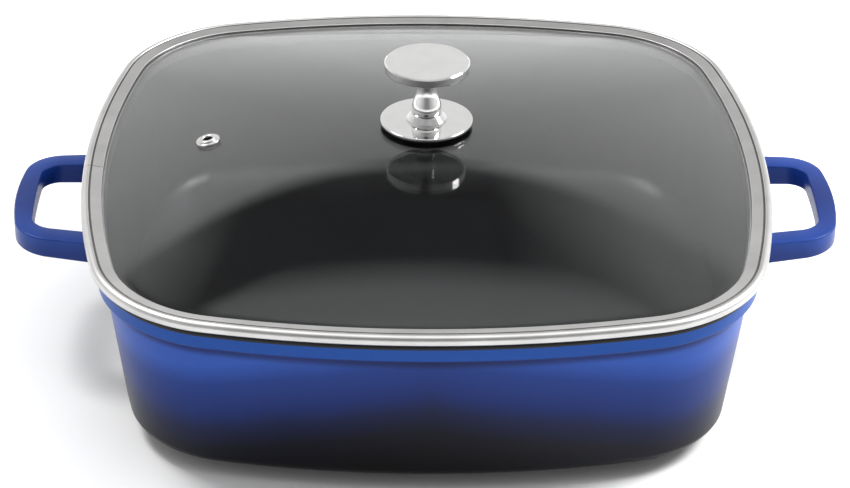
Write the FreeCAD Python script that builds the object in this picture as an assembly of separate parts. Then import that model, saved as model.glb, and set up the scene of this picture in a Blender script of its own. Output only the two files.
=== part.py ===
import FreeCAD, Part
import math
import os

# Covered square casserole, millimetres. Z is up and 0 is the table. X runs through the two loop
# handles. Every plan outline is the lid's own outline moved inwards by an "inset", so that rounded
# square rings of any section share the same eight arc centres.

# ---- plan outline of the lid's steel rim
lid_half_width = 165.0
side_arc_radius = 460.0
corner_arc_radius = 70.0

# ---- pot casting
pot_height = 86.0
wall_thickness = 3.2
floor_thickness = 5.0
wall_taper = 0.13
band_inset = 3.6
band_height = 6.2
band_step = 3.8
band_edge_round = 0.7
band_root_round = 1.6
mouth_round = 0.8
shoulder_height = 2.9
shoulder_width = 2.2
bottom_round_height = 11.2
bottom_round_width = 34.4
pad_height = 0.8
pad_margin = 1.8
pad_chamfer = 0.8
floor_overlap = 1.0

# ---- loop handles, cast with the pot
handle_reach = 199.2
handle_root_reach = 140.0
handle_top_drop = 15.4
handle_rise = 0.036
handle_root_thickness = 10.9
handle_thinning = 0.035
handle_root_half = 45.1
handle_narrowing = 0.137
handle_end_radius = 155.0
handle_corner_radius = 20.0
handle_arm_width = 11.1
handle_bar_width = 9.7
handle_gap_radius = 11.0
handle_gap_end_radius = 400.0
handle_edge_radius = 0.9
handle_flat_edge_share = 0.2

# ---- lid: steel rim band and glass
lid_seat_gap = 0.3
lid_play = 1.0
rim_sheet = 0.5
rim_bead_rise = 1.3
rim_bead_round = 2.4
rim_bead_width = 3.3
rim_flange_reach = 9.7
rim_crease_depth = 0.3
rim_crease_width = 0.4
rim_lower_round = 1.8
rim_lower_width = 4.4
rim_skirt_drop = 6.0
rim_seam_gap = 0.35
rim_seam_y = -6.5
glass_thickness = 3.0
glass_play = 0.1
glass_edge_inset = 2.4
glass_edge_round = 1.4
dome_inset = 9.0
dome_rise = 21.6
dome_foot_radius = 15.0
dome_cap_margin = 0.5
dome_rounding = 2.0
dome_steps = 5

# ---- steam vent
vent_x = -105.0
vent_flange_radius = 5.85
vent_flange_thickness = 0.9
vent_step_radius = 4.3
vent_step_height = 0.8
vent_hole_radius = 2.25
vent_barrel_radius = 3.0
vent_barrel_play = 0.3
vent_lip_radius = 3.9
vent_lip_height = 0.6
vent_bevel = 0.5
vent_washer_radius = 5.2
vent_washer_thickness = 0.8

# ---- knob and what holds it
knob_disc_radius = 20.4
knob_disc_thickness = 4.4
knob_disc_chamfer = 0.6
knob_height = 30.4
stem_top_radius = 5.3
stem_neck_radius = 4.9
stem_waist_radius = 6.5
stem_bulge_radius = 7.2
stem_shoulder_radius = 5.3
stem_foot_radius = 6.7
stem_bulge_share = 0.24
stem_waist_share = 0.37
stem_shoulder_share = 0.52
stem_neck_share = 0.64
stem_neck_end_share = 0.82
stem_spigot_radius = 3.5
stem_spigot_length = 2.6
collar_radius = 9.7
collar_top_radius = 7.6
collar_edge = 0.9
collar_height = 3.2
plate_radius = 22.2
plate_thickness = 1.2
plate_edge_round = 0.4
top_gasket_radius = 20.0
top_gasket_thickness = 1.8
bottom_gasket_radius = 8.5
bottom_gasket_thickness = 1.2
gasket_sleeve_wall = 1.3
flat_washer_radius = 7.5
flat_washer_thickness = 1.0
lock_washer_radius = 4.6
lock_washer_thickness = 1.2
lock_washer_split = 1.0
screw_radius = 2.5
screw_thread_depth = 14.0
screw_head_radius = 4.8
screw_head_height = 3.0
screw_head_round = 2.1
screw_point_bevel = 0.6
screw_recess_width = 1.2
screw_recess_length = 5.4
screw_recess_depth = 1.8
fit_play = 0.05
screw_hole_play = 0.25
gasket_hole_play = 0.25
bore_end_play = 1.5

# ---- heights and insets that follow from the sizes above
rim_bottom_z = pot_height + lid_seat_gap
rim_top_z = rim_bottom_z + 2 * rim_sheet + 2 * glass_play + glass_thickness + rim_bead_rise
band_top_z = pot_height - shoulder_height
band_bottom_z = band_top_z - band_height
wall_inset = band_inset + band_step
glass_bottom_z = rim_bottom_z + rim_sheet + glass_play
glass_top_z = glass_bottom_z + glass_thickness
dome_top_z = glass_top_z + dome_rise
dome_cap_half = top_gasket_radius + dome_cap_margin
screw_clear_radius = screw_radius + screw_hole_play
gasket_sleeve_radius = screw_clear_radius + gasket_sleeve_wall
glass_hole_radius = gasket_sleeve_radius + gasket_hole_play

ORIGIN = FreeCAD.Vector(0, 0, 0)
UP = FreeCAD.Vector(0, 0, 1)
CIRCLE_HANDLE = 0.5523
HALVINGS = 60
SAME_SIZE = 0.01
OVERRUN = 1.0
LONG_CUT = 400.0


def point(x, y, z):
    return FreeCAD.Vector(x, y, z)


# ---------------------------------------------------------------- rounded square outlines

def corner_centre():
    """X, and also Y, of the corner arcs' centre, tangent to both neighbouring side arcs."""
    side_centre = side_arc_radius - lid_half_width
    gap = side_arc_radius - corner_arc_radius
    return (math.sqrt(2 * gap ** 2 - side_centre ** 2) - side_centre) / 2


def side_half_angle():
    """Half the angle that a side arc covers, in degrees."""
    centre = corner_centre()
    return math.degrees(math.atan2(centre, centre + side_arc_radius - lid_half_width))


def polar(x, y, radius, angle, z):
    turn = math.radians(angle)
    return point(x + radius * math.cos(turn), y + radius * math.sin(turn), z)


def arc(x, y, radius, start, end, z):
    spots = [polar(x, y, radius, angle, z) for angle in (start, (start + end) / 2, end)]
    return Part.Arc(*spots).toShape()


def outline_arcs(inset, squareness=1.0):
    """The (centre x, centre y, radius, start, end) of the eight arcs of a rounded square moved inwards
    by inset. A squareness of 0 makes a circle."""
    half_width = lid_half_width - inset
    flatness = squareness * (side_arc_radius - lid_half_width)
    sharpness = squareness * (lid_half_width - corner_arc_radius)
    corner = squareness * corner_centre() * math.sqrt(2)
    half = side_half_angle()
    arcs = []
    for quarter in range(4):
        turn = 90 * quarter
        away = math.radians(turn + 180)
        arcs.append((flatness * math.cos(away), flatness * math.sin(away), half_width + flatness,
                     turn - half, turn + half))
        towards = math.radians(turn + 45)
        arcs.append((corner * math.cos(towards), corner * math.sin(towards), half_width - sharpness,
                     turn + half, turn + 90 - half))
    return arcs


def outline(inset, z, squareness=1.0):
    return Part.Wire([arc(x, y, radius, start, end, z)
                      for x, y, radius, start, end in outline_arcs(inset, squareness)])


def slab(inset, low, high):
    return Part.Face(outline(inset, low)).extrude(point(0, 0, high - low))


def sector(section, radius, start, sweep, centre):
    """Turn a section about one arc's centre."""
    face = section.copy()
    face.translate(point(radius, 0, 0))
    face.rotate(ORIGIN, UP, start)
    solid = face.revolve(ORIGIN, UP, sweep)
    solid.translate(centre)
    return solid


def ring(section):
    """Carry a section drawn at X = -inset once around the rounded square."""
    corner = corner_centre()
    half = side_half_angle()
    side_centre = point(lid_half_width - side_arc_radius, 0, 0)
    side = sector(section, side_arc_radius, -half, 2 * half, side_centre)
    turn = sector(section, corner_arc_radius, half, 90 - 2 * half, point(corner, corner, 0))
    pieces = []
    for quarter in range(4):
        for piece in (side, turn):
            copy = piece.copy()
            copy.rotate(ORIGIN, UP, 90 * quarter)
            pieces.append(copy)
    return pieces[0].multiFuse(pieces[1:]).removeSplitter()


# ---------------------------------------------------------------- sections in the XZ plane

def line(start, end):
    return Part.LineSegment(point(start[0], 0, start[1]), point(end[0], 0, end[1])).toShape()


def bend(start, knee, end):
    """Quarter-ellipse from start to end, whose end tangents cross at the knee."""
    poles = [start]
    for spot in (start, end):
        x = spot[0] + CIRCLE_HANDLE * (knee[0] - spot[0])
        z = spot[1] + CIRCLE_HANDLE * (knee[1] - spot[1])
        poles.append((x, z))
    poles.append(end)
    curve = Part.BezierCurve()
    curve.setPoles([point(x, 0, z) for x, z in poles])
    return curve.toShape()


def smooth(points):
    curve = Part.BSplineCurve()
    curve.interpolate([point(x, 0, z) for x, z in points])
    return curve.toShape()


def section(path):
    """Face from a closed path. Each step is a corner, or a (knee, end) pair for a rounded stretch."""
    edges = []
    here = path[0]
    for step in path[1:] + [path[0]]:
        if isinstance(step[0], tuple):
            edges.append(bend(here, step[0], step[1]))
            here = step[1]
        else:
            edges.append(line(here, step))
            here = step
    return Part.Face(Part.Wire(edges))


def turned(path):
    """Solid of revolution about Z from a closed path of (radius, height)."""
    return section(path).revolve(ORIGIN, UP, 360)


def washer(outer, inner, low, high):
    body = Part.makeCylinder(outer, high - low, point(0, 0, low))
    return body.cut(Part.makeCylinder(inner, high - low, point(0, 0, low)))


# ---------------------------------------------------------------- pot casting

def wall_outside(z):
    """Inset of the wall's outer face."""
    return wall_inset + wall_taper * (band_bottom_z - z)


def wall_inside(z):
    return wall_outside(z) + wall_thickness


def pot_shell():
    round_top = pad_height + bottom_round_height
    foot = wall_outside(round_top) + bottom_round_width
    pad_edge = foot + pad_margin
    inner_edge = pad_edge + pad_chamfer + floor_overlap
    floor_z = floor_thickness
    inner_top = floor_z + bottom_round_height
    inner_foot = wall_inside(inner_top) + bottom_round_width - wall_thickness
    knee = wall_outside(pad_height)
    inner_knee = wall_inside(floor_z)
    root_z = band_bottom_z - band_root_round
    mouth = wall_inside(pot_height)
    mouth_z = pot_height - mouth_round
    path = [
        (-inner_edge, 0),
        (-pad_edge - pad_chamfer, 0),
        (-pad_edge, pad_height),
        (-foot, pad_height),
        ((-knee, pad_height), (-wall_outside(round_top), round_top)),
        (-wall_outside(root_z), root_z),
        ((-wall_inset, band_bottom_z), (-wall_inset + band_root_round, band_bottom_z)),
        (-band_inset - band_edge_round, band_bottom_z),
        ((-band_inset, band_bottom_z), (-band_inset, band_bottom_z + band_edge_round)),
        (-band_inset, band_top_z),
        ((-band_inset, pot_height), (-band_inset - shoulder_width, pot_height)),
        (-mouth + mouth_round, pot_height),
        ((-mouth, pot_height), (-wall_inside(mouth_z), mouth_z)),
        (-wall_inside(inner_top), inner_top),
        ((-inner_knee, floor_z), (-inner_foot, floor_z)),
        (-inner_edge, floor_z),
    ]
    return ring(section(path)).fuse(slab(inner_edge, 0, floor_z)).removeSplitter()


def pot_cavity():
    """Everything inside the wall, used to keep the handle roots out of the pot."""
    return Part.makeLoft([outline(wall_inside(z), z) for z in (0, pot_height)], True, True)


def corner_of_loop(half_root, narrowing, end_x, end_radius, radius):
    """Centre of the rounding between a loop's sloping side and its bowed end."""
    slope = math.atan(narrowing)
    end_centre = end_x - end_radius
    inner = end_radius - radius
    low, high = 0.0, half_root
    for _ in range(HALVINGS):
        y = (low + high) / 2
        x = end_centre + math.sqrt(inner ** 2 - y ** 2)
        side = half_root - narrowing * (x - (lid_half_width - band_inset)) - radius / math.cos(slope)
        if y < side:
            low = y
        else:
            high = y
    return x, y, slope


def loop_plan(root_x, half_root, narrowing, end_x, end_radius, radius):
    """Plan wire of a loop: two sloping sides, two round corners and a slightly bowed end."""
    x, y, slope = corner_of_loop(half_root, narrowing, end_x, end_radius, radius)
    end_centre = end_x - end_radius
    end_half = math.degrees(math.atan2(y, x - end_centre))
    start = 90 - math.degrees(slope)
    root_half = half_root - narrowing * (root_x - (lid_half_width - band_inset))
    side_end = point(x + radius * math.sin(slope), y + radius * math.cos(slope), 0)
    root_far = point(root_x, root_half, 0)
    root_near = point(root_x, -root_half, 0)
    near_end = point(side_end.x, -side_end.y, 0)
    edges = [
        Part.LineSegment(root_near, near_end).toShape(),
        arc(x, -y, radius, -start, -end_half, 0),
        arc(end_centre, 0, end_radius, -end_half, end_half, 0),
        arc(x, y, radius, end_half, start, 0),
        Part.LineSegment(side_end, root_far).toShape(),
        Part.LineSegment(root_far, root_near).toShape(),
    ]
    return Part.Wire(edges)


def loop_side():
    """Side view of the loop: it rises and thins a little towards its end."""
    root_top = pot_height - handle_top_drop
    root_low = root_top - handle_root_thickness
    start = lid_half_width - band_inset
    spots = []
    end = handle_reach + OVERRUN
    for reach, low in ((handle_root_reach, True), (end, True), (end, False), (handle_root_reach, False)):
        top = root_top + handle_rise * (reach - start)
        drop = handle_root_thickness - handle_thinning * (reach - start)
        z = top - drop if low else top
        spots.append(point(reach, 0, z))
    spots.append(spots[0])
    face = Part.Face(Part.makePolygon(spots))
    face.translate(point(0, -LONG_CUT / 2, 0))
    return face.extrude(point(0, LONG_CUT, 0))


def loop_handle():
    outer = loop_plan(handle_root_reach, handle_root_half, handle_narrowing, handle_reach,
                      handle_end_radius, handle_corner_radius)
    gap = loop_plan(handle_root_reach - OVERRUN, handle_root_half - handle_arm_width, handle_narrowing,
                    handle_reach - handle_bar_width, handle_gap_end_radius, handle_gap_radius)
    plate = Part.Face(outer).extrude(point(0, 0, pot_height))
    hole = Part.Face(gap).extrude(point(0, 0, pot_height))
    loop = plate.cut(hole).common(loop_side())
    long_edges = []
    for edge in loop.Edges:
        ends = edge.BoundBox
        flat = ends.ZLength < handle_flat_edge_share * max(ends.XLength, ends.YLength)
        if flat and ends.XMax > handle_root_reach + OVERRUN:
            long_edges.append(edge)
    return loop.makeFillet(handle_edge_radius, long_edges)


def pot_casting():
    loop = loop_handle().cut(pot_cavity())
    other = loop.copy()
    other.rotate(ORIGIN, UP, 180)
    return pot_shell().multiFuse([loop, other]).removeSplitter()


# ---------------------------------------------------------------- lid rim and glass

def lid_rim_band():
    """Rolled strip: a bead outside, a flange that slopes down onto the glass, and a skirt in the mouth."""
    flange_end = glass_top_z + glass_play
    crease = rim_bead_width + rim_crease_width
    crease_z = rim_top_z - rim_crease_depth
    side_low = rim_bottom_z + rim_lower_round
    side_high = rim_top_z - rim_bead_round
    skirt_top = wall_inside(rim_bottom_z) + lid_play
    skirt_low = skirt_top + wall_taper * rim_skirt_drop
    skirt_z = rim_bottom_z - rim_skirt_drop
    channel = rim_bottom_z + rim_sheet
    under_bead = crease_z - rim_sheet
    path = [
        (-rim_flange_reach, flange_end + rim_sheet),
        (-crease, crease_z),
        (-rim_bead_width, rim_top_z),
        ((0, rim_top_z), (0, side_high)),
        (0, side_low),
        ((0, rim_bottom_z), (-rim_lower_width, rim_bottom_z)),
        (-skirt_top, rim_bottom_z),
        (-skirt_low, skirt_z),
        (-skirt_low - rim_sheet, skirt_z),
        (-skirt_top - rim_sheet, channel),
        (-rim_lower_width, channel),
        ((-rim_sheet, channel), (-rim_sheet, side_low)),
        (-rim_sheet, side_high),
        ((-rim_sheet, under_bead), (-crease, under_bead)),
        (-rim_flange_reach, flange_end),
    ]
    band = ring(section(path))
    seam_x = -lid_half_width - OVERRUN
    seam = Part.makeBox(lid_half_width / 4, rim_seam_gap, LONG_CUT, point(seam_x, rim_seam_y, 0))
    return band.cut(seam)


def dome_radius():
    """Radius of the dome's arc, tangent to its foot arc, which is tangent to the flat edge."""
    edge = lid_half_width - dome_inset
    return (edge ** 2 + dome_rise ** 2) / (2 * dome_rise) - dome_foot_radius


def dome_meeting():
    """Half-width of the contour where the dome meets its foot."""
    return (lid_half_width - dome_inset) * dome_radius() / (dome_radius() + dome_foot_radius)


def dome_height(half):
    """Height of the glass top where the contour's half-width is half."""
    if half < dome_meeting():
        return dome_top_z - dome_radius() + math.sqrt(dome_radius() ** 2 - half ** 2)
    across = lid_half_width - dome_inset - half
    return glass_top_z + dome_foot_radius - math.sqrt(dome_foot_radius ** 2 - across ** 2)


def dome_slope(half):
    """Rise of the glass top for each millimetre outwards."""
    if half < dome_meeting():
        return -half / math.sqrt(dome_radius() ** 2 - half ** 2)
    across = lid_half_width - dome_inset - half
    return -across / math.sqrt(dome_foot_radius ** 2 - across ** 2)


def dome_profile():
    """Spline of (half-width, height) from the dome's flat middle to the flat edge."""
    edge = lid_half_width - dome_inset
    meeting = dome_meeting()
    halves = []
    for step in range(dome_steps):
        halves.append(dome_cap_half + (meeting - dome_cap_half) * step / dome_steps)
    halves += [meeting, (meeting + edge) / 2, edge]
    spots = [point(half, 0, dome_height(half)) for half in halves]
    curve = Part.BSplineCurve()
    start_tangent = point(1, 0, dome_slope(dome_cap_half))
    curve.interpolate(spots, InitialTangent=start_tangent, FinalTangent=point(1, 0, 0))
    return curve


def dome_squareness(half):
    """The contours start as the lid's rounded square and grow rounder towards the knob."""
    return (half / (lid_half_width - dome_inset)) ** dome_rounding


def dome_patches():
    """One face of the dome for each arc of the outline, tangent to its neighbours."""
    profile = dome_profile()
    marks = profile.getPoles()
    rows = [outline_arcs(lid_half_width - mark.x, dome_squareness(mark.x)) for mark in marks]
    faces = []
    for arcs in zip(*rows):
        near, middle, far = [], [], []
        for mark, (x, y, radius, start, end) in zip(marks, arcs):
            bulge = math.cos(math.radians((end - start) / 2))
            near.append(polar(x, y, radius, start, mark.z))
            middle.append(polar(x, y, radius / bulge, (start + end) / 2, mark.z))
            far.append(polar(x, y, radius, end, mark.z))
        weights = [[weight] * len(marks) for weight in (1.0, bulge, 1.0)]
        surface = Part.BSplineSurface()
        surface.buildFromPolesMultsKnots([near, middle, far], [3, 3], profile.getMultiplicities(),
                                         [0, 1], profile.getKnots(), False, False,
                                         2, profile.Degree, weights)
        faces.append(surface.toShape())
    return faces


def under_glass_top(drop):
    """Closed solid below the glass's top face, moved down by drop. It is wider than the glass."""
    low = pot_height / 2
    border = outline(0, glass_top_z)
    flat = Part.Face(border).cut(Part.Face(outline(dome_inset, glass_top_z)))
    cap_inset = lid_half_width - dome_cap_half
    cap = outline(cap_inset, dome_height(dome_cap_half), dome_squareness(dome_cap_half))
    faces = [flat.Faces[0], Part.Face(cap), Part.Face(outline(0, low))] + dome_patches()
    for edge in border.Edges:
        faces.append(edge.extrude(point(0, 0, low - glass_top_z)))
    shell = Part.makeShell(faces)
    shell.sewShape()
    solid = Part.Solid(shell)
    if solid.Volume < 0:
        solid.reverse()
    solid.translate(point(0, 0, -drop))
    return solid


def vent_placement():
    """Puts a piece made about Z at the origin on the glass, square to its slope."""
    reach = abs(vent_x)
    outwards = dome_slope(reach) * vent_x / reach
    tilt = FreeCAD.Rotation(UP, point(-outwards, 0, 1))
    return FreeCAD.Placement(point(vent_x, 0, dome_height(reach)), tilt)


def on_vent(solid):
    solid.Placement = vent_placement()
    return solid


def outline_edges(solid, inset):
    """The level edges of a solid that lie on the outline at one inset."""
    radii = (side_arc_radius - inset, corner_arc_radius - inset)
    found = []
    for edge in solid.Edges:
        if edge.Curve.TypeId == "Part::GeomCircle" and edge.BoundBox.ZLength < SAME_SIZE:
            if min(abs(edge.Curve.Radius - radius) for radius in radii) < SAME_SIZE:
                found.append(edge)
    return found


def lid_glass():
    glass = slab(glass_edge_inset, glass_bottom_z - OVERRUN, dome_top_z + OVERRUN)
    glass = glass.common(under_glass_top(0)).cut(under_glass_top(glass_thickness))
    glass = glass.makeFillet(glass_edge_round, outline_edges(glass, glass_edge_inset))
    hole = Part.makeCylinder(glass_hole_radius, LONG_CUT, point(0, 0, glass_top_z))
    vent = Part.makeCylinder(vent_barrel_radius + vent_barrel_play, glass_thickness * 4,
                             point(0, 0, -glass_thickness * 2))
    return glass.cut(hole).cut(on_vent(vent))


# ---------------------------------------------------------------- steam vent

def vent_eyelet():
    """Turned eyelet: stepped flange above the glass, barrel through it, and a lip rolled over below."""
    low = -glass_thickness - vent_washer_thickness - 2 * fit_play
    flange = vent_flange_thickness
    step = flange + vent_step_height
    bevel = vent_bevel
    path = [
        (vent_hole_radius, low - vent_lip_height),
        (vent_lip_radius - bevel, low - vent_lip_height),
        (vent_lip_radius, low),
        (vent_barrel_radius, low),
        (vent_barrel_radius, fit_play),
        (vent_flange_radius, fit_play),
        ((vent_flange_radius, flange), (vent_flange_radius - bevel, flange)),
        (vent_step_radius, flange),
        ((vent_step_radius, step), (vent_step_radius - bevel, step)),
        (vent_hole_radius + bevel, step),
        ((vent_hole_radius, step), (vent_hole_radius, flange)),
    ]
    return on_vent(turned(path))


def vent_washer():
    top = -glass_thickness - fit_play
    bore = vent_barrel_radius + fit_play
    return on_vent(washer(vent_washer_radius, bore, top - vent_washer_thickness, top))


# ---------------------------------------------------------------- knob

# Heights of its pieces, which start from the dome's flat middle.
knob_seat_z = dome_height(dome_cap_half)
knob_under_z = knob_seat_z - glass_thickness
plate_bottom_z = knob_seat_z + top_gasket_thickness
plate_top_z = plate_bottom_z + plate_thickness
disc_top_z = plate_top_z + knob_height
disc_bottom_z = disc_top_z - knob_disc_thickness
bottom_gasket_z = knob_under_z - bottom_gasket_thickness
flat_washer_z = bottom_gasket_z - flat_washer_thickness
lock_washer_z = flat_washer_z - lock_washer_thickness
screw_tip_z = plate_top_z + screw_thread_depth


def knob_disc():
    edge = knob_disc_chamfer
    hole_top = disc_bottom_z + stem_spigot_length
    path = [
        (0, hole_top),
        (stem_spigot_radius + fit_play, hole_top),
        (stem_spigot_radius + fit_play, disc_bottom_z),
        (knob_disc_radius - edge, disc_bottom_z),
        ((knob_disc_radius, disc_bottom_z), (knob_disc_radius, disc_bottom_z + edge)),
        (knob_disc_radius, disc_top_z - edge),
        (knob_disc_radius - edge, disc_top_z),
        (0, disc_top_z),
    ]
    return turned(path)


def knob_stem():
    """Vase-shaped stem with a spigot into the disc and a tapped hole for the screw."""
    length = disc_bottom_z - plate_top_z
    shape = [
        (stem_foot_radius, plate_top_z + collar_height),
        (stem_bulge_radius, plate_top_z + stem_bulge_share * length),
        (stem_waist_radius, plate_top_z + stem_waist_share * length),
        (stem_shoulder_radius, plate_top_z + stem_shoulder_share * length),
        (stem_neck_radius, plate_top_z + stem_neck_share * length),
        (stem_neck_radius, plate_top_z + stem_neck_end_share * length),
        (stem_top_radius, disc_bottom_z),
    ]
    spigot_top = disc_bottom_z + stem_spigot_length - fit_play
    bore = screw_radius + fit_play
    bore_top = screw_tip_z + bore_end_play
    corners = [
        (stem_top_radius, disc_bottom_z),
        (stem_spigot_radius, disc_bottom_z),
        (stem_spigot_radius, spigot_top),
        (0, spigot_top),
        (0, bore_top),
        (bore, bore_top),
        (bore, plate_top_z),
        (stem_foot_radius, plate_top_z),
        (stem_foot_radius, plate_top_z + collar_height),
    ]
    edges = [smooth(shape)]
    for start, end in zip(corners, corners[1:]):
        edges.append(line(start, end))
    return Part.Face(Part.Wire(edges)).revolve(ORIGIN, UP, 360)


def knob_collar():
    bore = stem_foot_radius + fit_play
    path = [
        (bore, plate_top_z),
        (collar_radius, plate_top_z),
        (collar_radius, plate_top_z + collar_edge),
        (collar_top_radius, plate_top_z + collar_height),
        (bore, plate_top_z + collar_height),
    ]
    return turned(path)


def knob_base_plate():
    edge = plate_edge_round
    path = [
        (screw_clear_radius, plate_bottom_z),
        (plate_radius, plate_bottom_z),
        (plate_radius, plate_top_z - edge),
        ((plate_radius, plate_top_z), (plate_radius - edge, plate_top_z)),
        (screw_clear_radius, plate_top_z),
    ]
    return turned(path)


def knob_top_gasket():
    return washer(top_gasket_radius, screw_clear_radius, knob_seat_z, plate_bottom_z)


def knob_bottom_gasket():
    """Flanged grommet that lines the hole in the glass."""
    flange = washer(bottom_gasket_radius, screw_clear_radius, bottom_gasket_z, knob_under_z)
    lining = washer(gasket_sleeve_radius, screw_clear_radius, bottom_gasket_z, knob_seat_z - fit_play)
    return flange.fuse(lining).removeSplitter()


def knob_flat_washer():
    return washer(flat_washer_radius, screw_clear_radius, flat_washer_z, bottom_gasket_z)


def knob_lock_washer():
    ring_body = washer(lock_washer_radius, screw_clear_radius, lock_washer_z, flat_washer_z)
    gap = Part.makeBox(lock_washer_radius + OVERRUN, lock_washer_split, lock_washer_thickness,
                       point(0, -lock_washer_split / 2, lock_washer_z))
    return ring_body.cut(gap)


def knob_screw():
    head_low = lock_washer_z - screw_head_height
    path = [
        (0, head_low),
        (screw_head_radius - screw_head_round, head_low),
        ((screw_head_radius, head_low), (screw_head_radius, head_low + screw_head_round)),
        (screw_head_radius, lock_washer_z),
        (screw_radius, lock_washer_z),
        (screw_radius, screw_tip_z - screw_point_bevel),
        (screw_radius - screw_point_bevel, screw_tip_z),
        (0, screw_tip_z),
    ]
    screw = turned(path)
    for turn in (0, 90):
        slot = Part.makeBox(screw_recess_length, screw_recess_width, screw_recess_depth,
                            point(-screw_recess_length / 2, -screw_recess_width / 2, head_low))
        slot.rotate(ORIGIN, UP, turn)
        screw = screw.cut(slot)
    return screw


MAKERS = [
    pot_casting,
    lid_rim_band,
    lid_glass,
    vent_eyelet,
    vent_washer,
    knob_disc,
    knob_stem,
    knob_collar,
    knob_base_plate,
    knob_top_gasket,
    knob_bottom_gasket,
    knob_flat_washer,
    knob_lock_washer,
    knob_screw,
]

os.makedirs("parts", exist_ok=True)
for maker in MAKERS:
    piece = maker()
    if len(piece.Solids) == 1:
        piece = piece.Solids[0]
    print(maker.__name__, piece.ShapeType, piece.isValid(), round(piece.Volume / 1000, 2), "cm3")
    piece.exportStep("parts/" + maker.__name__ + ".step")
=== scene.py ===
import math

import bmesh
import bpy
from mathutils import Matrix, Vector


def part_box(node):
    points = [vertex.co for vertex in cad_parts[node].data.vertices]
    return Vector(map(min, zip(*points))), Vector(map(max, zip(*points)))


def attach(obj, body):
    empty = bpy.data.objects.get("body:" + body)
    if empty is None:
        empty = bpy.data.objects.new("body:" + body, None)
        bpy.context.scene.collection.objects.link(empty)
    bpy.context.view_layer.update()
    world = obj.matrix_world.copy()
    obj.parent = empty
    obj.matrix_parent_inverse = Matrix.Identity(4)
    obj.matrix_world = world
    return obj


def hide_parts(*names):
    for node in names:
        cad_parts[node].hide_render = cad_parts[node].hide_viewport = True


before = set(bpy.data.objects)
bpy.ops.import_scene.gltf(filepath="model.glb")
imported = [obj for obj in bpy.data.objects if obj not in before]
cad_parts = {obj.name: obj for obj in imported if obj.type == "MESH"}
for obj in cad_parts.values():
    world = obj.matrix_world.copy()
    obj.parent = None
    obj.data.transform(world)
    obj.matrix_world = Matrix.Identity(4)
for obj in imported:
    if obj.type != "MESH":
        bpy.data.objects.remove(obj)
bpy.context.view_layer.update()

# Lengths below are in millimetres and become metres when a mesh is made, except in the room. Plan outlines
# are the lid's rounded square moved inwards by an "inset", as eight arcs: a flat one on each side and one
# on each corner.
METRE = 0.001

# ---- sizes read from the frame
rim_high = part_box("lid_rim_band")[1] / METRE
pot_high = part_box("pot_casting")[1] / METRE

# ---- plan outline
half_size = rim_high.y
side_radius = 460.0
corner_radius = 70.0

# ---- pot
pot_top = pot_high.z
wall = 3.2
floor_z = 5.0
taper = 0.13
band_inset = 3.6
band_top = pot_top - 2.9
band_bottom = band_top - 6.2
wall_inset = 7.4
round_high = 11.2
round_wide = 34.4
pad_z = 0.8
pad_step = 1.8
pad_bevel = 0.8
pad_ring = 0.6
under_band_round = 1.6
band_edge = 0.7
shoulder_wide = 2.2
mouth_round = 0.8

# ---- loop handles
loop_end = pot_high.x
loop_root = 152.2
loop_half = 45.1
loop_narrowing = 0.137
loop_start = half_size - band_inset
loop_end_radius = 155.0
loop_corner = 20.0
gap_end_radius = 400.0
gap_corner = 11.0
arm_width = 11.1
bar_width = 9.7
loop_top = pot_top - 15.4
loop_rise = 0.036
loop_thick = 10.9
loop_thinning = 0.035
loop_edge = 0.9
flare = 2.6
flare_reach = 4.5
flare_up = 0.6

# ---- lid
rim_under = pot_top + 0.3
rim_top = rim_under + 5.5
sheet = 0.5
play = 0.1
bead_wide = 3.3
bead_round = 2.4
groove = 3.7
groove_deep = 0.5
groove_wide = 0.8
groove_lip = 0.1
groove_floor = 0.2
groove_foot = 0.3
groove_foot_rise = 0.05
groove_slope = 0.2
bead_shoulder = 0.5
flange_lip = 0.3
flange_lip_rise = 0.05
skirt_play = 1.0
skirt_bend = 0.3
channel_bend = 0.5
lower_round = 1.8
lower_wide = 4.4
flange_reach = 9.7
skirt_drop = 6.0
seam_y = -6.5
seam_gap = 0.35
glass_thick = 3.0
glass_top = rim_under + sheet + play + glass_thick
glass_edge = half_size - 2.4
glass_round = 1.4
dome_edge = half_size - 9.0
dome_rise = 21.6
foot_radius = 15.0
cap_half = 20.5
hole_radius = 4.3
vent_x = -105.0
vent_hole = 3.5
vent_clearing = 2.6
knob_contours = (8.0, 14.0)
first_contour = cap_half + 4.5
last_contour = 151.0
contour_step = 5.0
foot_contours = (152.3, 153.4, 154.6)
ledge_contour = 158.5

# ---- mesh fineness
SIDE_STEPS = 28
CORNER_STEPS = 22
BEND_STEPS = 6
TINY_BEND_STEPS = 3
SMALL_BEND_STEPS = 4
WIDE_BEND_STEPS = 16
SHOULDER_STEPS = 8
BEAD_STEPS = 12
LOOP_EDGE_STEPS = 5
LOOP_CORNER_STEPS = 14
WALL_STEPS = 6
DISC_STEPS = 12
HALVINGS = 50
NEAR_BEND = 0.35
NEAR_SMALL_BEND = 0.2

# ---- places along the loop's sides and its end, as shares of each stretch
ARM_SHARES = (0, 0.05, 0.09, 0.13, 0.17, 0.22, 0.28, 0.36, 0.5, 0.75, 0.96)
END_SHARES = (0.03, 0.15, 0.4, 0.7)

# ---- room, in metres and degrees
LENS = 124.08
CAMERA_PLACE = (-0.0247, -1.2502, 0.759)
CAMERA_TURN = -1.13
CAMERA_DOWN = 29.74
CAMERA_ROLL = 0.67
FLOOR_REACH = 4.0
LIGHT_TARGET = (0, 0, 0.05)
LIGHTS = (
    ("key_left", (-0.9, 0.5, 1.5), 0.5, 18),
    ("key_right", (1.2, 0.2, 1.2), 0.6, 34),
)


# ---------------------------------------------------------------- plan outline

def corner_centre():
    side_centre = side_radius - half_size
    gap = side_radius - corner_radius
    return (math.sqrt(2 * gap ** 2 - side_centre ** 2) - side_centre) / 2


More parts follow.
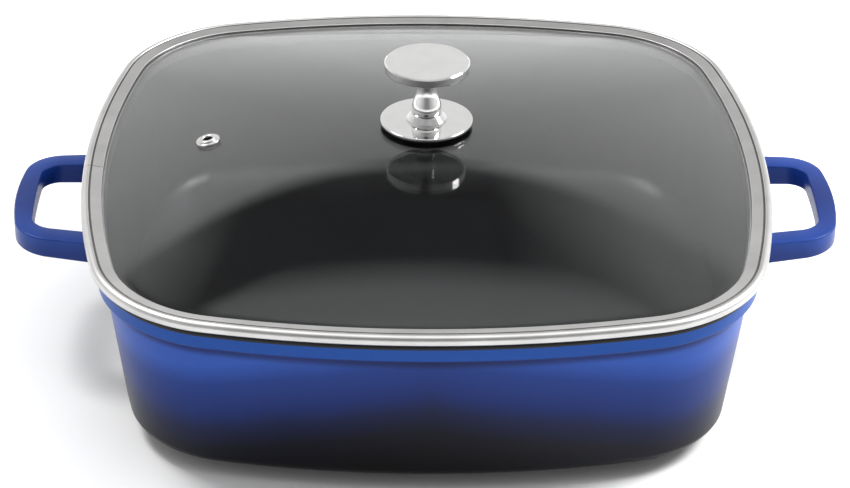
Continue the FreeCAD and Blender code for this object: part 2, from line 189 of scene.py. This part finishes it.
def side_half_angle():
    centre = corner_centre()
    return math.degrees(math.atan2(centre, centre + side_radius - half_size))


def stations():
    """(arc number, angle) all round the outline, starting at the middle of the -X side."""
    half = side_half_angle()
    found = []
    for quarter in (2, 3, 4, 5):
        turn = 90 * quarter
        for step in range(SIDE_STEPS // 2):
            found.append((2 * (quarter % 4), turn + half * step / (SIDE_STEPS // 2)))
        for step in range(CORNER_STEPS):
            share = step / CORNER_STEPS
            found.append((2 * (quarter % 4) + 1, turn + half + (90 - 2 * half) * share))
        after = 90 * (quarter + 1)
        for step in range(SIDE_STEPS // 2):
            share = step / (SIDE_STEPS // 2)
            found.append((2 * ((quarter + 1) % 4), after - half + half * share))
    return found


def on_outline(inset, station, squareness=1.0):
    """(x, y) on the outline moved inwards by inset. A squareness of 0 makes it a circle."""
    number, angle = station
    half_width = half_size - inset
    if number % 2:
        away = math.radians(90 * (number // 2) + 45)
        reach = squareness * corner_centre() * math.sqrt(2)
        radius = half_width - squareness * (half_size - corner_radius)
    else:
        away = math.radians(90 * (number // 2) + 180)
        reach = squareness * (side_radius - half_size)
        radius = half_width + reach
    turn = math.radians(angle)
    return (reach * math.cos(away) + radius * math.cos(turn),
            reach * math.sin(away) + radius * math.sin(turn))


# ---------------------------------------------------------------- meshes

def make_piece(name, points, faces, materials, body, marks=None, sharp=40.0):
    """A smooth-shaded object in metres. marks gives each face its material number."""
    mesh = bpy.data.meshes.new(name)
    mesh.from_pydata([[value * METRE for value in spot] for spot in points], [], faces)
    for material in materials:
        mesh.materials.append(material)
    if marks:
        for face, mark in zip(mesh.polygons, marks):
            face.material_index = mark
    tidy = bmesh.new()
    tidy.from_mesh(mesh)
    bmesh.ops.delete(tidy, geom=[spot for spot in tidy.verts if not spot.link_faces], context="VERTS")
    bmesh.ops.recalc_face_normals(tidy, faces=tidy.faces)
    tidy.to_mesh(mesh)
    tidy.free()
    mesh.polygons.foreach_set("use_smooth", [True] * len(mesh.polygons))
    mesh.set_sharp_from_angle(angle=math.radians(sharp))
    piece = bpy.data.objects.new(name, mesh)
    bpy.context.scene.collection.objects.link(piece)
    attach(piece, body)
    return piece


def bend(start, knee, end, steps=BEND_STEPS):
    """Points of a quarter-ellipse from start, which is left out, to end, turning at the knee."""
    spots = []
    for step in range(1, steps + 1):
        turn = math.pi / 2 * step / steps
        along, across = math.sin(turn), 1 - math.cos(turn)
        spots.append(tuple(start[i] + along * (knee[i] - start[i]) + across * (end[i] - knee[i])
                           for i in range(2)))
    return spots


def between(start, end, count, edge=NEAR_BEND):
    """Points on a straight stretch, with one close to each end to keep the shading flat there."""
    length = math.hypot(end[0] - start[0], end[1] - start[1])
    near = min(edge / length, 0.25)
    middle = [near + (1 - 2 * near) * step / count for step in range(1, count)]
    shares = [near] + middle + [1 - near, 1.0]
    return [tuple(start[i] + share * (end[i] - start[i]) for i in range(2)) for share in shares]


def tube_faces(rows, columns):
    """Faces of a tube whose points come row by row, each row once round the tube."""
    faces = []
    for row in range(rows - 1):
        for column in range(columns):
            beside = (column + 1) % columns
            low, high = row * columns, (row + 1) * columns
            faces.append((low + column, low + beside, high + beside, high + column))
    return faces


# ---------------------------------------------------------------- materials

def new_material(name):
    material = bpy.data.materials.new(name)
    material.use_nodes = True
    shader = material.node_tree.nodes["Principled BSDF"]
    return material, shader


def node(owner, kind, **values):
    """A new node of a material or the world, with its sockets or settings set by name."""
    made = owner.node_tree.nodes.new(kind)
    for key, value in values.items():
        if key in made.inputs:
            made.inputs[key].default_value = value
        else:
            setattr(made, key, value)
    return made


def join(owner, source, target):
    owner.node_tree.links.new(source, target)


def coordinates(owner, output):
    """X, Y and Z of one texture coordinate."""
    position = node(owner, "ShaderNodeTexCoord")
    parts = node(owner, "ShaderNodeSeparateXYZ")
    join(owner, position.outputs[output], parts.inputs["Vector"])
    return parts.outputs


def place_of(owner, stretch):
    """Position on the object, in metres, stretched along each axis."""
    position = node(owner, "ShaderNodeTexCoord")
    mapping = node(owner, "ShaderNodeMapping", Scale=stretch)
    join(owner, position.outputs["Object"], mapping.inputs["Vector"])
    return mapping.outputs["Vector"]


def noise(owner, scale, detail=3.0, roughness=0.5, stretch=(1, 1, 1)):
    made = node(owner, "ShaderNodeTexNoise", Scale=scale, Detail=detail, Roughness=roughness)
    join(owner, place_of(owner, stretch), made.inputs["Vector"])
    return made.outputs["Fac"]


def ramp(owner, source, stops):
    made = node(owner, "ShaderNodeValToRGB")
    elements = made.color_ramp.elements
    elements[0].position, elements[1].position = stops[0][0], stops[-1][0]
    elements[0].color, elements[1].color = (*stops[0][1], 1), (*stops[-1][1], 1)
    for position, colour in stops[1:-1]:
        elements.new(position).color = (*colour, 1)
    join(owner, source, made.inputs["Fac"])
    return made.outputs["Color"]


def spread(owner, source, low, high, lowest=0.0):
    """A value from lowest to 1 spread over low to high."""
    made = node(owner, "ShaderNodeMapRange")
    made.inputs["From Min"].default_value = lowest
    made.inputs["To Min"].default_value = low
    made.inputs["To Max"].default_value = high
    join(owner, source, made.inputs["Value"])
    return made.outputs["Result"]


def bump(owner, shader, source, strength, distance):
    made = node(owner, "ShaderNodeBump", Strength=strength, Distance=distance)
    join(owner, source, made.inputs["Height"])
    join(owner, made.outputs["Normal"], shader.inputs["Normal"])


def blended(owner, kind, amount, first, second):
    """Colours first and second put together; either may be a socket or a plain colour."""
    made = node(owner, "ShaderNodeMix", data_type="RGBA", blend_type=kind)
    for socket, value in ((made.inputs[0], amount), (made.inputs[6], first), (made.inputs[7], second)):
        if isinstance(value, bpy.types.NodeSocket):
            join(owner, value, socket)
        elif isinstance(value, tuple):
            socket.default_value = (*value, 1)
        else:
            socket.default_value = value
    return made.outputs[2]


def maths(owner, operation, first, second=0.0):
    made = node(owner, "ShaderNodeMath", operation=operation)
    for socket, value in zip(made.inputs, (first, second)):
        if isinstance(value, bpy.types.NodeSocket):
            join(owner, value, socket)
        else:
            socket.default_value = value
    return made.outputs[0]


def enamel(name, gloss):
    """Sprayed enamel, blue from the band down and fading through navy to black at the foot. The blue
    reaches lower at the corners, and painted shade darkens the crease under the band."""
    material, shader = new_material(name)
    corner_lift = 0.44
    drift_size = 0.035
    place = coordinates(material, "Object")
    height = maths(material, "DIVIDE", place["Z"], pot_top * METRE)
    reach = half_size * METRE
    across = maths(material, "DIVIDE", maths(material, "ABSOLUTE", place["X"]), reach)
    along = maths(material, "DIVIDE", maths(material, "ABSOLUTE", place["Y"]), reach)
    corner = maths(material, "MULTIPLY", maths(material, "MULTIPLY", across, along), corner_lift)
    cloud = noise(material, scale=22.0)
    drift = spread(material, cloud, -drift_size, drift_size)
    level = maths(material, "ADD", maths(material, "ADD", height, corner), drift)
    fade = ramp(material, level, [
        (0.24, (0.0030, 0.0030, 0.0040)),
        (0.42, (0.0035, 0.0040, 0.0100)),
        (0.56, (0.0040, 0.0090, 0.0480)),
        (0.68, (0.0050, 0.0200, 0.1300)),
        (0.86, (0.0070, 0.0330, 0.1950)),
        (1.06, (0.0200, 0.0750, 0.3600)),
    ])
    crease = band_bottom / pot_top
    is_band = ramp(material, height, [(crease - 0.002, (0, 0, 0)), (crease + 0.004, (1, 1, 1))])
    coat = blended(material, "MIX", is_band, fade, (0.0070, 0.0620, 0.3050))
    # Painted shade: the band's underside and the wall just below it are darkened, where the overhanging band
    # shades them.
    shade = ramp(material, height, [
        (crease - 0.080, (1, 1, 1)), (crease - 0.045, (0.30, 0.28, 0.36)),
        (crease + 0.001, (0.28, 0.28, 0.36)), (crease + 0.008, (1, 1, 1))])
    coat = blended(material, "MULTIPLY", 1.0, coat, shade)
    speckle = spread(material, noise(material, scale=900.0, detail=2.0), 0.92, 1.08)
    join(material, blended(material, "MULTIPLY", 1.0, coat, speckle), shader.inputs["Base Color"])
    join(material, spread(material, cloud, 0.29, 0.38), shader.inputs["Roughness"])
    bump(material, shader, noise(material, scale=260.0, detail=2.0), strength=0.06, distance=0.0004)
    shader.inputs["Specular IOR Level"].default_value = gloss
    return material


def nonstick(name):
    """Satin black nonstick coating with a faint grain."""
    material, shader = new_material(name)
    cloud = noise(material, scale=30.0)
    grain = noise(material, scale=1400.0, detail=2.0)
    colour = ramp(material, grain, [
        (0.30, (0.0045, 0.0050, 0.0060)),
        (0.62, (0.0060, 0.0065, 0.0080)),
        (0.78, (0.0090, 0.0095, 0.0110)),
    ])
    join(material, colour, shader.inputs["Base Color"])
    join(material, spread(material, cloud, 0.29, 0.40), shader.inputs["Roughness"])
    shader.inputs["Specular IOR Level"].default_value = 0.3
    bump(material, shader, grain, strength=0.01, distance=0.0001)
    return material


def mottle(material, shader, colour, scale, darkest):
    """Colours a metal with soft clouds, from its colour down to the share called darkest."""
    shader.inputs["Metallic"].default_value = 1.0
    darker = tuple(darkest * part for part in colour)
    tone = ramp(material, noise(material, scale), [(0.35, darker), (0.70, colour)])
    join(material, tone, shader.inputs["Base Color"])


def steel(name, colour, low, high, mark_scale, strength):
    """Stainless steel whose roughness, from low to high, changes along fine polishing marks."""
    material, shader = new_material(name)
    mottle(material, shader, colour, scale=45.0, darkest=0.86)
    marks = noise(material, mark_scale, detail=4.0, roughness=0.6)
    join(material, spread(material, marks, low, high), shader.inputs["Roughness"])
    bump(material, shader, marks, strength, distance=0.0002)
    return material


def turned_steel(name, colour, low, high):
    """Steel polished on a lathe, with fine rings about the upright axis through the origin."""
    material, shader = new_material(name)
    mottle(material, shader, colour, scale=90.0, darkest=0.95)
    place = coordinates(material, "Object")
    across = maths(material, "MULTIPLY", place["X"], place["X"])
    along = maths(material, "MULTIPLY", place["Y"], place["Y"])
    radius = maths(material, "SQRT", maths(material, "ADD", across, along))
    where = node(material, "ShaderNodeCombineXYZ")
    join(material, radius, where.inputs["X"])
    join(material, place["Z"], where.inputs["Y"])
    rings = node(material, "ShaderNodeTexNoise", Scale=2600.0, Detail=3.0)
    join(material, where.outputs["Vector"], rings.inputs["Vector"])
    join(material, spread(material, rings.outputs["Fac"], low, high), shader.inputs["Roughness"])
    bump(material, shader, rings.outputs["Fac"], strength=0.05, distance=0.0001)
    return material


def rubber(name):
    material, shader = new_material(name)
    dust = noise(material, scale=500.0)
    colour = ramp(material, dust, [(0.4, (0.010, 0.010, 0.011)), (0.75, (0.024, 0.024, 0.025))])
    join(material, colour, shader.inputs["Base Color"])
    join(material, spread(material, dust, 0.55, 0.75), shader.inputs["Roughness"])
    bump(material, shader, dust, strength=0.2, distance=0.0002)
    return material


def clear_glass(name):
    """Tempered glass with faint smears that change its gloss."""
    material, shader = new_material(name)
    smears = noise(material, scale=35.0, detail=5.0, stretch=(1, 2.5, 1))
    tint = ramp(material, smears, [(0.3, (0.90, 0.93, 0.925)), (0.8, (0.94, 0.955, 0.95))])
    join(material, tint, shader.inputs["Base Color"])
    join(material, spread(material, smears, 0.0, 0.008), shader.inputs["Roughness"])
    shader.inputs["Transmission Weight"].default_value = 1.0
    shader.inputs["IOR"].default_value = 1.52
    return material


# ---------------------------------------------------------------- pot

def wall_outside(z):
    return wall_inset + taper * (band_bottom - z)


def wall_inside(z):
    return wall_outside(z) + wall


def pot_section():
    """(inset, height, is nonstick) from the base, up the outside, and down to the inner floor."""
    round_top = pad_z + round_high
    foot = wall_outside(round_top) + round_wide
    pad_edge = foot + pad_step
    pad_low = pad_edge + pad_bevel
    inner_top = floor_z + round_high
    inner_foot = wall_inside(inner_top) + round_wide - wall
    root_z = band_bottom - under_band_round
    outside = [(pad_low + pad_ring, 0.0), (pad_low, 0.0), (pad_edge, pad_z), (foot, pad_z)]
    knee = (wall_outside(pad_z), pad_z)
    outside += bend(outside[-1], knee, (wall_outside(round_top), round_top), WIDE_BEND_STEPS)
    outside += between(outside[-1], (wall_outside(root_z), root_z), WALL_STEPS)
    outside += bend(outside[-1], (wall_inset, band_bottom), (wall_inset - under_band_round, band_bottom))
    outside += between(outside[-1], (band_inset + band_edge, band_bottom), 1)
    outside += bend(outside[-1], (band_inset, band_bottom), (band_inset, band_bottom + band_edge))
    outside += between(outside[-1], (band_inset, band_top), 3)
    mouth_z = pot_top - mouth_round
    mouth = wall_inside(pot_top)
    shoulder = (band_inset + shoulder_wide, pot_top)
    inside = bend(outside[-1], (band_inset, pot_top), shoulder, SHOULDER_STEPS)
    inside += between(inside[-1], (mouth - mouth_round, pot_top), 1)
    inside += bend(inside[-1], (mouth, pot_top), (wall_inside(mouth_z), mouth_z))
    inside += between(inside[-1], (wall_inside(inner_top), inner_top), WALL_STEPS)
    inside += bend(inside[-1], (wall_inside(floor_z), floor_z), (inner_foot, floor_z), WIDE_BEND_STEPS)
    return [(*spot, 0) for spot in outside] + [(*spot, 1) for spot in inside]


def disc_rows(inset, z):
    """Rings that close a flat middle, growing rounder towards its centre."""
    outer = half_size - inset
    rows = []
    for step in range(1, DISC_STEPS):
        half = outer * (1 - step / DISC_STEPS)
        rows.append((half_size - half, z, (half / outer) ** 2))
    return rows


def pot_body():
    profile = pot_section()
    under = [(inset, z, square, 0) for inset, z, square in disc_rows(profile[0][0], 0.0)][::-1]
    floor = [(inset, z, square, 1) for inset, z, square in disc_rows(profile[-1][0], floor_z)]
    rings = under + [(inset, z, 1.0, mark) for inset, z, mark in profile] + floor
    around = stations()
    count = len(around)
    points = []
    for inset, z, square, _ in rings:
        points += [(*on_outline(inset, station, square), z) for station in around]
    faces = tube_faces(len(rings), count)
    marks = [rings[number // count + 1][3] for number in range(len(faces))] + [0, 1]
    faces.append(tuple(reversed(range(count))))
    faces.append(tuple((len(rings) - 1) * count + step for step in range(count)))
    materials = [enamel("blue_enamel", gloss=0.16), nonstick("black_nonstick")]
    return make_piece("pot_body", points, faces, materials, "pot", marks)


# ---------------------------------------------------------------- loop handles

def loop_line(half, end, end_radius, radius):
    """One edge of the loop in plan, from the -Y root to the +Y root, as matching stations."""
    slope = math.atan(loop_narrowing)
    end_centre = end - end_radius
    low, high = 0.0, half
    for _ in range(HALVINGS):
        y = (low + high) / 2
        x = end_centre + math.sqrt((end_radius - radius) ** 2 - y ** 2)
        if y < half - loop_narrowing * (x - loop_start) - radius / math.cos(slope):
            low = y
        else:
            high = y
    start_x = x + radius * math.sin(slope)
    side = []
    for share in ARM_SHARES:
        at = loop_root + (start_x - loop_root) * share
        side.append((at, half - loop_narrowing * (at - loop_start)))
    from_angle = 90 - math.degrees(slope)
    to_angle = math.degrees(math.atan2(y, x - end_centre))
    turn = []
    for step in range(LOOP_CORNER_STEPS + 1):
        angle = math.radians(from_angle + (to_angle - from_angle) * step / LOOP_CORNER_STEPS)
        turn.append((x + radius * math.cos(angle), y + radius * math.sin(angle)))
    front = []
    for share in END_SHARES:
        angle = math.radians(to_angle * (1 - share))
        front.append((end_centre + end_radius * math.cos(angle), end_radius * math.sin(angle)))
    upper = side + turn + front
    return [(x, -y) for x, y in upper] + [(end, 0.0)] + [(x, y) for x, y in reversed(upper)]


def loop_section(half_thick, half_wide):
    """Rounded rectangle round the loop's bar, as (across, up)."""
    edge = loop_edge
    corners = [(1, -1), (1, 1), (-1, 1), (-1, -1)]
    spots = []
    for number, (across, up) in enumerate(corners):
        x, z = across * half_wide, up * half_thick
        upright = (x, z - up * edge)
        level = (x - across * edge, z)
        start, end = (upright, level) if number % 2 else (level, upright)
        spots += [start] + bend(start, (x, z), end, LOOP_EDGE_STEPS)
    return spots


def loop_handle(name, turn, material):
    """A loop on the +X side, or the -X side where turn is -1, flaring where it meets the wall."""
    outer = loop_line(loop_half, loop_end, loop_end_radius, loop_corner)
    inner = loop_line(loop_half - arm_width, loop_end - bar_width, gap_end_radius, gap_corner)
    points = []
    for (ox, oy), (ix, iy) in zip(outer, inner):
        middle = Vector(((ox + ix) / 2, (oy + iy) / 2))
        across = Vector((ox - ix, oy - iy))
        half_wide = across.length / 2
        across.normalize()
        rise = middle.x - loop_start
        top = loop_top + loop_rise * rise
        thick = loop_thick - loop_thinning * rise
        wall_x = wall_face(middle.y, top - thick / 2)
        grow = flare * max(0.0, 1 - max(0.0, middle.x - wall_x) / flare_reach) ** 2
        for side, up in loop_section(thick / 2 + flare_up * grow, half_wide + grow):
            spot = middle + across * side
            points.append((turn * spot.x, turn * spot.y, top - thick / 2 + up))
    rows = len(outer)
    columns = len(points) // rows
    faces = [tuple(reversed(face)) for face in tube_faces(rows, columns)]
    faces.append(tuple(range(columns)))
    faces.append(tuple((rows - 1) * columns + step for step in reversed(range(columns))))
    return make_piece(name, points, faces, [material], "pot")


def wall_face(y, z):
    """X of the wall's outer face at a height, beside the handles."""
    radius = side_radius - wall_outside(z)
    return half_size - side_radius + math.sqrt(radius ** 2 - y ** 2)


# ---------------------------------------------------------------- lid rim

def rim_section():
    """(inset, height) once round the rolled strip, from the flange's inner edge outwards, and the
    numbers of the points at the groove."""
    flange_z = glass_top + play
    flange_top = flange_z + sheet
    groove_z = rim_top - groove_deep
    under_bead = groove_z - sheet
    side_low = rim_under + lower_round
    side_high = rim_top - bead_round
    skirt = wall_inside(rim_under) + skirt_play
    skirt_low = skirt + taper * skirt_drop
    skirt_z = rim_under - skirt_drop
    channel = rim_under + sheet
    path = [(flange_reach, flange_z + sheet / 2)]
    flange_bend_end = (flange_reach - flange_lip, flange_top + flange_lip_rise)
    path += bend(path[-1], (flange_reach, flange_top), flange_bend_end, TINY_BEND_STEPS)
    path += between(path[-1], (groove + groove_wide, groove_z + groove_lip), 3, NEAR_SMALL_BEND)
    groove_start = len(path) - 1
    path.append((groove + groove_wide - groove_foot, groove_z - groove_floor + groove_foot_rise))
    path.append((groove, groove_z - groove_floor))
    path.append((groove - groove_slope, groove_z))
    groove_end = len(path) - 1
    path += bend(path[-1], (bead_wide, rim_top), (bead_wide - bead_shoulder, rim_top), SMALL_BEND_STEPS)
    path += bend(path[-1], (0, rim_top), (0, side_high), BEAD_STEPS)
    path += between(path[-1], (0, side_low), 1, NEAR_SMALL_BEND)
    path += bend(path[-1], (0, rim_under), (lower_wide, rim_under), SHOULDER_STEPS)
    path += between(path[-1], (skirt - skirt_bend, rim_under), 2)
    path += bend(path[-1], (skirt, rim_under), (skirt, rim_under - skirt_bend), TINY_BEND_STEPS)
    path += between(path[-1], (skirt_low, skirt_z), 2)
    path += [(skirt_low + sheet, skirt_z)]
    path += between(path[-1], (skirt + sheet, channel - channel_bend), 2)
    path += bend(path[-1], (skirt + sheet, channel), (skirt, channel), TINY_BEND_STEPS)
    path += between(path[-1], (lower_wide, channel), 2)
    path += bend(path[-1], (sheet, channel), (sheet, side_low), SMALL_BEND_STEPS)
    path += between(path[-1], (sheet, side_high), 1, NEAR_SMALL_BEND)
    path += bend(path[-1], (sheet, under_bead), (groove, under_bead))
    path += between(path[-1], (flange_reach, flange_z), 2)
    return path, range(groove_start, groove_end)


def rim_strip():
    """The strip swept once round the outline, from one side of its butt joint to the other."""
    path, groove_columns = rim_section()
    around = stations()
    offset = math.degrees(math.asin(-seam_y / side_radius))
    slit = math.degrees(seam_gap / 2 / side_radius)
    seam = 180 + offset
    passed = sum(angle < seam for _, angle in around[:SIDE_STEPS // 2])
    loop = [(4, seam + slit)] + around[passed:] + around[:passed] + [(4, seam - slit)]
    points = []
    for station in loop:
        points += [(*on_outline(inset, station), z) for inset, z in path]
    faces = tube_faces(len(loop), len(path))
    marks = [int(number % len(path) in groove_columns) for number in range(len(faces))] + [0, 0]
    faces.append(tuple(reversed(range(len(path)))))
    last = (len(loop) - 1) * len(path)
    faces.append(tuple(last + step for step in range(len(path))))
    satin = steel("rim_steel", (0.56, 0.555, 0.55), low=0.34, high=0.44, mark_scale=420.0, strength=0.02)
    # Painted shade: the groove faces get a dark copy of the rim steel that stands in for the shade in the
    # crease.
    painted_groove_shade = steel("groove_painted_shade_steel", (0.09, 0.085, 0.085), low=0.45, high=0.60, mark_scale=420.0, strength=0.02)
    materials = [satin, painted_groove_shade]
    piece = make_piece("rim_strip", points, faces, materials, "lid", marks, sharp=50.0)
    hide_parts("lid_rim_band")
    return piece


# ---------------------------------------------------------------- glass

def dome_radius():
    return (dome_edge ** 2 + dome_rise ** 2) / (2 * dome_rise) - foot_radius


def dome_height(half):
    """Height of the glass top where the contour's half-width is half."""
    top = glass_top + dome_rise
    radius = dome_radius()
    meeting = dome_edge * radius / (radius + foot_radius)
    if half < meeting:
        return top - radius + math.sqrt(radius ** 2 - max(half, cap_half) ** 2)
    if half < dome_edge:
        return top - dome_rise + foot_radius - math.sqrt(foot_radius ** 2 - (dome_edge - half) ** 2)
    return top - dome_rise


def dome_squareness(half):
    return min(1.0, (half / dome_edge) ** 2)


def contour_through(x, y):
    """Half-width of the dome's contour through a point near the -X axis."""
    low, high = 0.0, dome_edge
    for _ in range(HALVINGS):
        half = (low + high) / 2
        reach = dome_squareness(half) * (side_radius - half_size)
        if math.hypot(x - reach, y) > half + reach:
            low = half
        else:
            high = half
    return half


def glass_dome():
    halves = [hole_radius, *knob_contours, cap_half]
    reach = first_contour
    while reach < last_contour:
        halves.append(reach)
        reach += contour_step
    halves = [half for half in halves if abs(half - abs(vent_x)) > vent_clearing] + [abs(vent_x)]
    halves += [*foot_contours, dome_edge, ledge_contour, glass_edge - glass_round]
    halves.sort()
    around = stations()
    count = len(around)
    rings = [(half, dome_height(half), dome_squareness(half)) for half in halves]
    edge_top = dome_height(dome_edge)
    edge_low = edge_top - glass_thick
    inner = glass_edge - glass_round
    upper, lower = (glass_edge, edge_top - glass_round), (glass_edge, edge_low + glass_round)
    edge = bend((inner, edge_top), (glass_edge, edge_top), upper, SMALL_BEND_STEPS)
    edge += bend(lower, (glass_edge, edge_low), (inner, edge_low), SMALL_BEND_STEPS)
    rings += [(half, z, 1.0) for half, z in edge]
    for half in reversed(halves[:-1]):
        rings.append((half, dome_height(half) - glass_thick, dome_squareness(half)))
    points = []
    for half, z, square in rings:
        points += [(*on_outline(half_size - half, station, square), z) for station in around]
    faces = []
    for ring in range(len(rings)):
        following = (ring + 1) % len(rings)
        for number in range(count):
            beside = (number + 1) % count
            faces.append((ring * count + number, following * count + number,
                          following * count + beside, ring * count + beside))
    faces = open_vent(points, faces, rings, count, halves.index(abs(vent_x)))
    piece = make_piece("glass_dome", points, faces, [clear_glass("lid_glass_clear")], "lid")
    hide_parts("lid_glass")
    return piece


def open_vent(points, faces, rings, count, ring):
    """Opens the hole for the eyelet at the first station of the ring on both sides of the glass."""
    under = len(rings) - 1 - ring
    loops = []
    for level, drop in ((ring, 0.0), (under, glass_thick)):
        middle = level * count
        around = []
        for rise, side in ((-1, 0), (-1, 1), (0, 1), (1, 1), (1, 0), (1, -1), (0, -1), (-1, -1)):
            sign = 1 if drop == 0.0 else -1
            index = (level + rise * sign) * count + side % count
            around.append(index)
            angle = math.atan2(side, rise)
            x = vent_x - vent_hole * math.cos(angle)
            y = -vent_hole * math.sin(angle)
            points[index] = (x, y, dome_height(contour_through(x, y)) - drop)
        loops.append(around)
        faces = [face for face in faces if middle not in face]
    top, low = loops
    for number in range(len(top)):
        beside = (number + 1) % len(top)
        faces.append((top[number], top[beside], low[beside], low[number]))
    return faces


# ---------------------------------------------------------------- room

def make_light(name, place, size, power):
    lamp = bpy.data.lights.new(name, "AREA")
    lamp.size = size
    lamp.energy = power
    piece = bpy.data.objects.new(name, lamp)
    bpy.context.scene.collection.objects.link(piece)
    piece.location = place
    piece.rotation_euler = (Vector(LIGHT_TARGET) - Vector(place)).to_track_quat("-Z", "Y").to_euler()


def make_floor():
    material, shader = new_material("pale_floor")
    clouds = noise(material, scale=3.0)
    shade = ramp(material, clouds, [(0.3, (0.90, 0.90, 0.90)), (0.7, (0.93, 0.93, 0.93))])
    join(material, shade, shader.inputs["Base Color"])
    shader.inputs["Roughness"].default_value = 0.9
    mesh = bpy.data.meshes.new("floor")
    corners = [(across * FLOOR_REACH, along * FLOOR_REACH, 0)
               for across, along in ((-1, -1), (1, -1), (1, 1), (-1, 1))]
    mesh.from_pydata(corners, [], [(0, 1, 2, 3)])
    mesh.materials.append(material)
    floor = bpy.data.objects.new("floor", mesh)
    bpy.context.scene.collection.objects.link(floor)


def grey_ramp(owner, source, stops):
    return ramp(owner, source, [(position, (shade, shade, shade)) for position, shade in stops])


def make_world():
    """Soft studio surroundings: a bright wall behind and at the sides with a dark gap above it at the
    back, a soft ceiling, and less light from the camera's side."""
    world = bpy.data.worlds.new("studio")
    bpy.context.scene.world = world
    world.use_nodes = True
    background = world.node_tree.nodes["Background"]
    direction = coordinates(world, "Generated")
    wall_shade = grey_ramp(world, direction["Z"], [
        (0.00, 1.16), (0.20, 1.12), (0.47, 0.86), (0.58, 0.76), (0.80, 0.72), (0.88, 0.80), (1.00, 2.60)])
    gap_shade = grey_ramp(world, direction["Z"], [
        (0.00, 1.0), (0.555, 1.0), (0.60, 0.10), (0.79, 0.08), (0.84, 0.80), (1.00, 1.0)])
    sideways = spread(world, direction["X"], 0.0, 1.0, lowest=-1.0)
    beside_gap = grey_ramp(world, sideways, [(0.34, 0.8), (0.41, 0.0), (0.54, 0.0), (0.62, 0.8)])
    backwards = spread(world, direction["Y"], 0.0, 1.0, lowest=-1.0)
    facing_shade = grey_ramp(world, backwards, [
        (0.015, 0.25), (0.06, 0.45), (0.25, 0.78), (0.50, 1.0)])
    light = blended(world, "MIX", beside_gap, gap_shade, (1, 1, 1))
    for shade in (wall_shade, facing_shade):
        light = blended(world, "MULTIPLY", 1.0, light, shade)
    join(world, light, background.inputs["Color"])


def use_plain_colours():
    """Shows colours as they are, with no film curve."""
    bpy.context.scene.view_settings.view_transform = "Standard"


def make_camera():
    """The camera turned, tilted down and rolled a little, as the view has it."""
    data = bpy.data.cameras.new("camera")
    data.lens = LENS
    camera = bpy.data.objects.new("camera", data)
    bpy.context.scene.collection.objects.link(camera)
    camera.matrix_world = (Matrix.Translation(CAMERA_PLACE)
                           @ Matrix.Rotation(math.radians(CAMERA_TURN), 4, "Z")
                           @ Matrix.Rotation(math.radians(90 - CAMERA_DOWN), 4, "X")
                           @ Matrix.Rotation(math.radians(CAMERA_ROLL), 4, "Z"))
    bpy.context.scene.camera = camera


def finish_cad_nodes():
    """Materials for the CAD nodes that stay as they are."""
    polished = turned_steel("knob_polish", (0.80, 0.80, 0.79), low=0.04, high=0.14)
    stem = turned_steel("stem_polish", (0.76, 0.76, 0.76), low=0.03, high=0.10)
    vent = steel("vent_polish", (0.72, 0.72, 0.71), low=0.08, high=0.2, mark_scale=900.0, strength=0.04)
    plain = steel("hardware_steel", (0.56, 0.56, 0.55), low=0.30, high=0.42, mark_scale=700.0, strength=0.08)
    black = rubber("black_silicone")
    choice = {
        "knob_disc": polished, "knob_stem": stem, "knob_collar": stem, "knob_base_plate": polished,
        "vent_eyelet": vent, "vent_washer": plain, "knob_flat_washer": plain,
        "knob_lock_washer": plain, "knob_screw": plain,
        "knob_top_gasket": black, "knob_bottom_gasket": black,
    }
    for name, material in choice.items():
        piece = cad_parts[name]
        piece.data.materials.clear()
        piece.data.materials.append(material)


body = pot_body()
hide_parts("pot_casting")
loop_material = enamel("loop_enamel", gloss=0.20)
loop_handle("handle_right", 1, loop_material)
loop_handle("handle_left", -1, loop_material)
rim_strip()
glass_dome()
finish_cad_nodes()
make_floor()
make_world()
make_camera()
use_plain_colours()
for light_name, light_place, light_size, light_power in LIGHTS:
    make_light(light_name, light_place, light_size, light_power)
